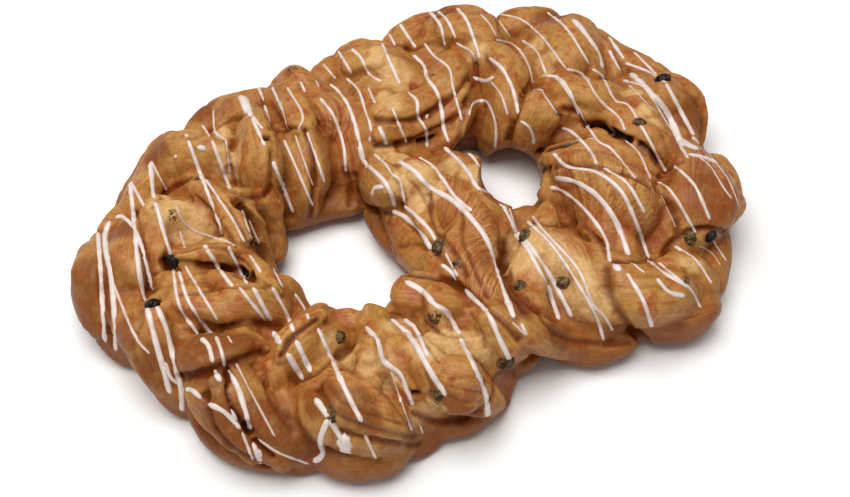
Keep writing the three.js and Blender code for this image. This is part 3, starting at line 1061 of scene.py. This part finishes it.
def placeRaisins(tree):
    first = makeRaisin()
    shape = coordsOf(first)
    copies = []
    for index, name in enumerate(raisinNodes):
        middle = middleOf(name)
        out = tree.find_nearest(middle)[1]
        turn = out.to_track_quat("Z", "Y").to_matrix() @ Matrix.Rotation(raisin["turn"] * index, 3, "Z")
        copy = first.copy()
        copy.data = first.data.copy()
        bpy.context.collection.objects.link(copy)
        size = 1 + raisin["sizeSpread"] * math.sin(5 * index)
        setCoords(copy, shape * size @ np.array(turn).T + np.array(middle))
        filmed = isAmong(name, "covered") or isAmong(name, "dusty")
        addValues(copy, "veil", np.full(len(shape), float(filmed)))
        copies.append(copy)
    bpy.data.objects.remove(first)
    pickOnly(*copies)
    bpy.ops.object.join()
    bpy.ops.object.shade_smooth()
    placed = bpy.context.object
    placed.name = "raisins"
    placed.data.name = "raisins"
    return placed


raisins = placeRaisins(surfaceOf(loaf))
raisins.data.materials.clear()
raisins.data.materials.append(driedGrapeMaterial())
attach(raisins, "root")
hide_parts(*raisinNodes)
print("raisins placed:", len(raisinNodes))

# Icing: drizzled strokes, each through pixels of the photograph and draped over the crust.
icing = {
    "proud": 0.5,      # mm at the middle of a stroke of middling width
    "spread": 0.92,    # of the widths below, once set
    "sunk": 0.35,      # mm at its edges
    "buried": 1.1,     # mm, its underside
    "step": 1.4,       # mm along a stroke
    "waver": 0.34,     # of the width
    "waverLong": 9,    # mm
    "taper": 0.6,      # widths over which an end thins out
    "tip": 0.06,       # of its full width, squared, at the very end
    "middling": 3.2,   # mm, a stroke's middling width
    "whiteWidth": 3.6,  # mm from which a stroke is white right through
    "fullness": 2.2,   # how soon a thin place lies as high as the rest
    "gap": 6,          # mm between seen points that a stroke spans by hanging down
    "leap": 9,         # mm between seen points where it breaks off
    "runOn": 45,       # mm that a stroke goes on where the camera doesn't see
    "lowest": 13,      # mm
    "white": "#DFD2CA", "thin": "#B98D70",
    "cloudSize": 8,    # mm
    "uneven": (0.35, 0.65, 0.65, 1.1), "cover": (0.05, 0.7, 0, 1),  # from and to, and how much at each
    "roughness": 0.4,
    "section": [-1, -0.75, -0.3, 0.3, 0.75, 1],
    "strokes": [       # width in mm, then pixels
        # left lobe
        (4, (98, 232), (105, 342)),
        (5, (110, 221), (105, 234), (112, 286), (116, 351)),
        (2.5, (108, 271), (138, 341), (150, 354)),
        (3.5, (115, 218), (120, 216), (134, 228), (153, 291)),
        (4.5, (130, 183), (134, 220), (141, 281), (170, 394)),
        (3, (131, 182), (144, 206)),
        (4.5, (150, 162), (154, 198)),
        (2.5, (151, 161), (167, 191)),
        (4, (154, 198), (171, 256)),
        (3.5, (188, 140), (224, 237)),
        (3, (204, 177), (236, 225), (245, 243)),
        (6, (197, 147), (206, 149)),
        (3.5, (212, 140), (230, 189)),
        (2.5, (226, 140), (230, 174)),
        (2.2, (242, 210), (254, 246)),
        (1.8, (249, 220), (260, 246)),
        (3.5, (204, 245), (228, 281), (233, 287)),
        (3.2, (228, 246), (247, 284)),
        (2.8, (250, 255), (261, 273)),
        (2.8, (273, 268), (283, 288)),
        (2.2, (171, 191), (183, 221), (193, 230), (228, 242), (236, 246)),
        (2.2, (180, 231), (185, 248)),
        (4.5, (157, 306), (167, 330), (175, 366), (181, 388), (182, 411)),
        (4, (182, 389), (191, 390), (202, 399)),
        (3, (165, 362), (171, 378), (181, 385)),
        (3, (173, 269), (180, 307), (199, 335)),
        (3.2, (179, 271), (188, 300), (210, 333)),
        (2.5, (185, 266), (218, 321)),
        (3.8, (201, 338), (208, 345), (213, 363)),
        (3, (216, 336), (221, 350), (225, 367)),
        (2.2, (225, 332), (232, 343)),
        (3, (239, 287), (266, 321)),
        (4, (253, 287), (271, 321)),
        (3.5, (272, 287), (286, 312), (294, 333)),
        (3, (295, 294), (304, 307), (309, 320)),
        # front left
        (5, (273, 331), (281, 345)),
        (5, (287, 353), (303, 380)),
        (4.5, (296, 340), (311, 373)),
        (5, (214, 370), (221, 382)),
        (4, (228, 370), (238, 388), (245, 410), (251, 430)),
        (2, (236, 363), (251, 392), (275, 437)),
        (4, (208, 404), (223, 411), (241, 429)),
        (4, (231, 409), (237, 422)),
        (2.5, (242, 432), (253, 460)),
        (4.5, (253, 442), (261, 464)),
        (2.5, (258, 439), (277, 452), (309, 464)),
        (5, (315, 398), (330, 419)),
        (4.5, (328, 419), (320, 441), (323, 455), (313, 462)),
        (4.5, (330, 419), (344, 444), (349, 453)),
        (7, (338, 440), (343, 446), (347, 453)),
        (2.5, (346, 435), (352, 448)),
        (2.5, (365, 435), (376, 459)),
        # front
        (4, (318, 328), (331, 357), (347, 393), (362, 422)),
        (4.4, (365, 327), (378, 341), (383, 361), (399, 373), (413, 406)),
        (2.4, (391, 372), (402, 404), (412, 431)),
        (2, (420, 425), (423, 434)),
        (5, (391, 319), (409, 335), (431, 373), (446, 396)),
        (4, (404, 319), (415, 328), (428, 357)),
        (5, (405, 281), (421, 290), (434, 304), (446, 312), (460, 335)),
        (5, (460, 338), (476, 370), (486, 396), (488, 416)),
        (4.5, (465, 289), (478, 302), (489, 315), (499, 338), (510, 361)),
        (2, (512, 322), (526, 336)),
        # bar
        (4, (359, 146), (363, 160), (383, 180), (392, 196), (395, 207)),
        (4, (372, 196), (374, 188), (384, 187)),
        (3, (374, 154), (387, 166), (392, 174), (399, 179), (405, 204)),
        (4.4, (392, 211), (405, 217), (421, 233), (431, 249)),
        (3.8, (404, 206), (416, 216), (432, 233), (438, 247)),
        (3.5, (441, 264), (452, 273), (456, 281)),
        (3, (445, 253), (458, 277)),
        (4.8, (399, 161), (414, 171), (429, 187), (449, 198), (469, 216),
         (487, 240), (498, 273), (514, 318)),
        (3.4, (419, 157), (434, 167), (456, 198), (472, 211)),
        (4, (444, 147), (456, 158), (469, 173), (478, 188), (496, 196), (507, 213), (517, 234)),
        (3.4, (458, 149), (472, 156), (480, 168)),
        (2.4, (488, 187), (505, 200), (511, 213), (515, 229)),
        # right lobe
        (4, (515, 234), (527, 248), (536, 264), (545, 280), (559, 320)),
        (4, (517, 232), (532, 248), (552, 279), (572, 318)),
        (3, (527, 221), (548, 241), (559, 255), (596, 316), (604, 341)),
        (2.8, (532, 216), (543, 230), (579, 271), (593, 305), (604, 316), (613, 331)),
        (3.4, (550, 187), (560, 190), (580, 205), (605, 238), (610, 262)),
        (7, (613, 264), (621, 271)),
        (4.6, (555, 178), (575, 182), (597, 196), (615, 220), (629, 255)),
        (3.6, (553, 153), (566, 166), (596, 172), (620, 190), (633, 215), (649, 258)),
        (3, (603, 168), (626, 182), (645, 213)),
        (3, (674, 166), (684, 174), (695, 186), (710, 220)),
        (3, (657, 182), (668, 188), (696, 233)),
        (1.5, (661, 195), (676, 228)),
        (2.5, (697, 156), (709, 165), (725, 190), (732, 199)),
        (2, (709, 154), (729, 181), (740, 210)),
        (3, (632, 263), (645, 273)),
        (3.5, (627, 273), (643, 300), (648, 314), (652, 327)),
        (4, (648, 260), (663, 272), (688, 287)),
        (3, (658, 262), (677, 278), (691, 290), (701, 308)),
        (4.5, (657, 278), (669, 292), (685, 296)),
        (3.2, (674, 246), (695, 259), (712, 284)),
        (1.5, (699, 246), (711, 252), (721, 266)),
        (2, (708, 232), (718, 248), (727, 262)),
        (2.8, (521, 323), (527, 336)),
        (3, (561, 128), (570, 131), (591, 152), (597, 165)),
        (2.8, (546, 76), (556, 78), (572, 99), (599, 142), (609, 147), (636, 179)),
        (2.2, (625, 140), (638, 152), (651, 179)),
        (2.5, (532, 91), (540, 90), (547, 99), (558, 115)),
        (3, (520, 121), (528, 126), (533, 136), (534, 145)),
        (2.8, (566, 69), (582, 74), (599, 99), (620, 119), (625, 131)),
        (3, (592, 69), (602, 76), (616, 101), (627, 104), (640, 124), (666, 172)),
        (3.5, (623, 80), (645, 88), (659, 110), (681, 147), (688, 158)),
        (6.5, (631, 73), (665, 110), (682, 146)),
        (10, (679, 139), (688, 145), (699, 149)),
        (8, (688, 154), (702, 157), (716, 162)),
        (5, (692, 137), (699, 144)),
        (3, (625, 63), (649, 72), (666, 83)),
        (4.5, (666, 83), (694, 136)),
        (2, (629, 85), (654, 111)),
        (3, (634, 52), (656, 74)),
        # belly
        (3, (381, 39), (387, 43)),
        (2.8, (388, 32), (394, 43)),
        (3.4, (400, 24), (409, 38), (416, 48)),
        (3.6, (429, 11), (440, 25), (445, 46)),
        (3, (435, 9), (447, 20), (456, 39)),
        (3.4, (457, 8), (466, 19), (475, 43), (480, 59)),
        (2.4, (479, 13), (489, 23), (497, 38)),
        (2.8, (498, 19), (511, 38)),
        (2.6, (499, 14), (520, 19), (540, 35), (566, 69)),
        (3.2, (547, 12), (566, 28), (590, 65)),
        (6.5, (573, 19), (582, 29), (599, 53), (603, 69)),
        (3.5, (609, 50), (621, 72)),
        (4, (609, 37), (624, 59)),
        (3.6, (382, 43), (390, 62), (400, 84)),
        (3.8, (413, 55), (424, 66), (427, 78), (437, 92), (442, 113), (444, 130), (449, 143)),
        (2.8, (424, 43), (434, 56), (449, 68), (453, 87), (462, 121)),
        (2.6, (456, 43), (472, 53), (476, 62)),
        (4, (489, 58), (502, 69), (514, 92), (518, 114)),
        (2.8, (496, 40), (514, 45), (528, 64), (533, 84)),
        (2.8, (522, 40), (537, 52), (546, 74)),
        (4, (473, 77), (485, 81), (494, 77)),
        (2.6, (491, 82), (501, 95), (508, 116)),
        (3.4, (469, 116), (473, 104), (485, 101), (494, 118), (496, 136), (495, 148)),
        (3.5, (542, 76), (554, 76), (565, 84), (579, 115)),
        (3.8, (330, 84), (346, 101), (358, 136), (364, 162)),
        (3.2, (320, 98), (332, 113), (343, 144), (346, 172)),
        (3, (346, 78), (358, 90), (365, 110), (371, 130), (369, 142)),
        (2.8, (368, 87), (375, 103)),
        (2.8, (323, 64), (336, 79)),
        (3.4, (338, 51), (352, 74)),
        (3.2, (348, 46), (361, 58), (369, 74), (381, 81)),
        (3.4, (408, 92), (417, 101), (418, 116), (426, 130), (427, 147)),
        (2.8, (392, 107), (400, 127), (407, 143)),
        (4.2, (379, 126), (387, 145)),
        (2.6, (287, 87), (303, 117), (298, 130)),
        (2.2, (280, 101), (288, 130)),
        (2.6, (300, 81), (305, 92)),
        (2.6, (316, 80), (319, 87)),
        (4, (273, 161), (293, 213)),
        (2.8, (284, 140), (313, 206)),
        (2, (295, 135), (313, 186)),
        (3.2, (307, 132), (325, 183)),
        (4, (185, 134), (188, 137)),
        (5, (174, 156), (177, 157)),
        (3, (202, 125), (210, 137)),
        (3, (213, 110), (216, 133), (226, 140)),
        (9.5, (242, 94), (245, 103), (248, 112)),
        (5, (246, 105), (251, 116)),
        (3.5, (252, 116), (263, 129)),
        (3.5, (252, 118), (265, 146)),
        (3, (257, 84), (264, 101)),
        (3, (264, 105), (271, 124)),
        (3, (272, 87), (282, 110)),
    ],
}


def fromAbove(tree, x, y):
    overhead = 200
    return tree.ray_cast(Vector((x, y, overhead)), Vector((0, 0, -1)))[0]


def unbroken(path):  # the stretches of a stroke with no leap to another lump behind
    leaps = np.flatnonzero(np.linalg.norm(np.diff(path, axis=0), axis=1) > icing["leap"]) + 1
    parts = [part for part in np.split(path, leaps) if len(part) > 2]
    for i in range(1, len(parts)):  # both sides go on into the fold between them
        parts[i - 1] = np.vstack([parts[i - 1], 2 * parts[i - 1][-1] - parts[i - 1][-3]])
        parts[i] = np.vstack([2 * parts[i][0] - parts[i][2], parts[i]])
    return parts


def hangDown(tree, path):  # fills the gaps where a stroke dips out of the camera's sight
    filled = [path[0]]
    perGap = 3  # points
    for point in path[1:]:
        last = filled[-1]
        count = int(np.linalg.norm(point - last) / icing["gap"] * perGap)
        if count >= perGap:
            for t in np.linspace(0, 1, count + 1)[1:-1]:
                hit = fromAbove(tree, *(last + (point - last) * t)[:2])
                if hit:
                    filled.append(np.array(hit))
        filled.append(point)
    return np.array(filled)


def runOn(tree, path):  # carries the last end on over the side that the camera doesn't see
    back = 6  # points that give its direction
    ahead = unit(path[-1][:2] - path[max(len(path) - back, 0)][:2])
    more = []
    last = path[-1]
    for distance in np.arange(icing["step"], icing["runOn"], icing["step"]):
        hit = fromAbove(tree, *(path[-1][:2] + ahead * distance))
        if hit is None or hit.z < icing["lowest"] or abs(hit.z - last[2]) > icing["gap"]:
            break
        away = (eye - hit).normalized()
        if tree.ray_cast(hit + away * dough["clear"], away)[0] is None:
            break
        last = np.array(hit)
        more.append(last)
    return np.vstack([path] + more) if more else path


def evenly(path, step):
    far = lengthAlong(path)
    at = np.linspace(0, far[-1], max(int(far[-1] / step), 2) + 1)
    path = np.column_stack([np.interp(at, far, path[:, axis]) for axis in range(3)])
    for _ in range(2):
        path[1:-1] = (path[:-2] + 2 * path[1:-1] + path[2:]) / 4
    return path, at


def strokeMesh(tree, width, path, seed):  # rings of points round a low ribbon, and how thick each lies
    path, far = evenly(path, icing["step"])
    ahead = unit(np.gradient(path, axis=0))
    waver = np.array([noise.noise(Vector((d / icing["waverLong"], seed, 0))) for d in far])
    half = width / 2 * (1 + icing["waver"] * waver)
    fromEnd = np.minimum(np.minimum(far, far[-1] - far) / (width * icing["taper"]), 1)
    half *= np.sqrt(np.clip(1 - (1 - fromEnd) ** 2, icing["tip"], 1))
    proud = icing["proud"] * (width / icing["middling"]) ** 0.5
    rings, thick = [], []
    for place, along, wide in zip(path, ahead, half):
        out = tree.find_nearest(Vector(place))[1]
        side = Vector(along).cross(out).normalized()
        low = []
        for u in icing["section"]:
            skin, normal, _, _ = tree.find_nearest(Vector(place) + side * (u * wide))
            dome = proud * (1 - u * u) ** 0.5 * min(1, wide / width * icing["fullness"])
            rings.append(skin + normal * (dome - icing["sunk"] * abs(u) ** 4))
            thick.append((1 - u * u) * min(1, width / icing["whiteWidth"]))
            low.append(skin - normal * icing["buried"])
        rings += [low[-2], low[1]]
        thick += [0, 0]
    return rings, thick


def makeIcing(tree):
    points, faces, thick = [], [], []
    around = len(icing["section"]) + 2
    for seed, (width, *pixels) in enumerate(icing["strokes"]):
        for path in unbroken(seenPath(tree, pixels)):
            path = hangDown(tree, path)
            path = runOn(tree, runOn(tree, path)[::-1])
            rings, cover = strokeMesh(tree, width * icing["spread"], path, seed)
            start = len(points)
            points += rings
            thick += cover
            count = len(rings) // around
            for i in range(count - 1):
                for j in range(around):
                    a, b = start + i * around + j, start + i * around + (j + 1) % around
                    faces.append((a, b, b + around, a + around))
            faces.append(tuple(range(start + around - 1, start - 1, -1)))
            faces.append(tuple(range(start + (count - 1) * around, start + count * around)))
    mesh = bpy.data.meshes.new("icing")
    mesh.from_pydata([p * mm for p in points], [], faces)
    drizzle = bpy.data.objects.new("icing", mesh)
    bpy.context.collection.objects.link(drizzle)
    pickOnly(drizzle)
    bpy.ops.object.mode_set(mode="EDIT")
    bpy.ops.mesh.select_all(action="SELECT")
    bpy.ops.mesh.normals_make_consistent(inside=False)
    bpy.ops.object.mode_set(mode="OBJECT")
    bpy.ops.object.shade_smooth()
    addValues(drizzle, "thick", np.array(thick))
    return drizzle


def glazeMaterial():  # set sugar and water: white where thick, with the crust's brown showing at its edges
    material, tree = newMaterial("sugarGlaze")
    thick = addNode(tree, "Attribute", attribute_name="thick").outputs["Fac"]
    place = addNode(tree, "TexCoord").outputs["Object"]
    grain = {"Vector": place, "Scale": 1 / (icing["cloudSize"] * mm), "Detail": 2}
    cloud = addNode(tree, "TexNoise", grain).outputs["Fac"]
    uneven = addNode(tree, "MapRange", dict(enumerate((cloud, *icing["uneven"])))).outputs[0]
    laid = addNode(tree, "Math", {0: thick, 1: uneven}, operation="MULTIPLY").outputs[0]
    cover = addNode(tree, "MapRange", dict(enumerate((laid, *icing["cover"])))).outputs[0]
    colours = {0: cover, 6: linear(icing["thin"]), 7: linear(icing["white"])}
    colour = addNode(tree, "Mix", colours, data_type="RGBA").outputs[2]
    skin = addNode(tree, "BsdfPrincipled", {"Base Color": colour, "Roughness": icing["roughness"]})
    addNode(tree, "OutputMaterial", {"Surface": skin.outputs[0]})
    return material


drizzle = makeIcing(surfaceOf(loaf))
drizzle.data.materials.append(glazeMaterial())
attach(drizzle, "root")
print("icing drizzled:", len(drizzle.data.polygons), "faces")

# Floor and light.
studio = {
    "floor": "#FBFAF8", "floorRoughness": 0.8,
    "floorSize": 4,  # m, as are the lamps' places and sizes
    "world": 0.24,
    "key": {"place": (-0.2, 0.08, 1.6), "size": 1.4, "watts": 31},
    "fill": {"place": (-0.9, -0.5, 1.0), "size": 1.2, "watts": 1},
}


def addStudio():
    deselectAll()
    bpy.ops.mesh.primitive_plane_add(size=studio["floorSize"], location=(0, 0, 0))
    floor = bpy.context.object
    floor.name = "paleFloor"
    material, tree = newMaterial("paleFloor")
    finish = {"Base Color": linear(studio["floor"]), "Roughness": studio["floorRoughness"]}
    skin = addNode(tree, "BsdfPrincipled", finish)
    addNode(tree, "OutputMaterial", {"Surface": skin.outputs[0]})
    floor.data.materials.append(material)
    world = bpy.data.worlds.new("studio")
    world.use_nodes = True
    sky = world.node_tree.nodes["Background"]
    sky.inputs[0].default_value = (1, 1, 1, 1)
    sky.inputs[1].default_value = studio["world"]
    bpy.context.scene.world = world
    for name in ("key", "fill"):
        lamp = studio[name]
        aim = (-Vector(lamp["place"])).to_track_quat("-Z", "Y").to_euler()
        bpy.ops.object.light_add(type="AREA", location=lamp["place"], rotation=aim)
        light = bpy.context.object
        light.name = name + "Light"
        light.data.size = lamp["size"]
        light.data.energy = lamp["watts"]
    bpy.context.scene.view_settings.view_transform = "Standard"


addStudio()
print("studio set")
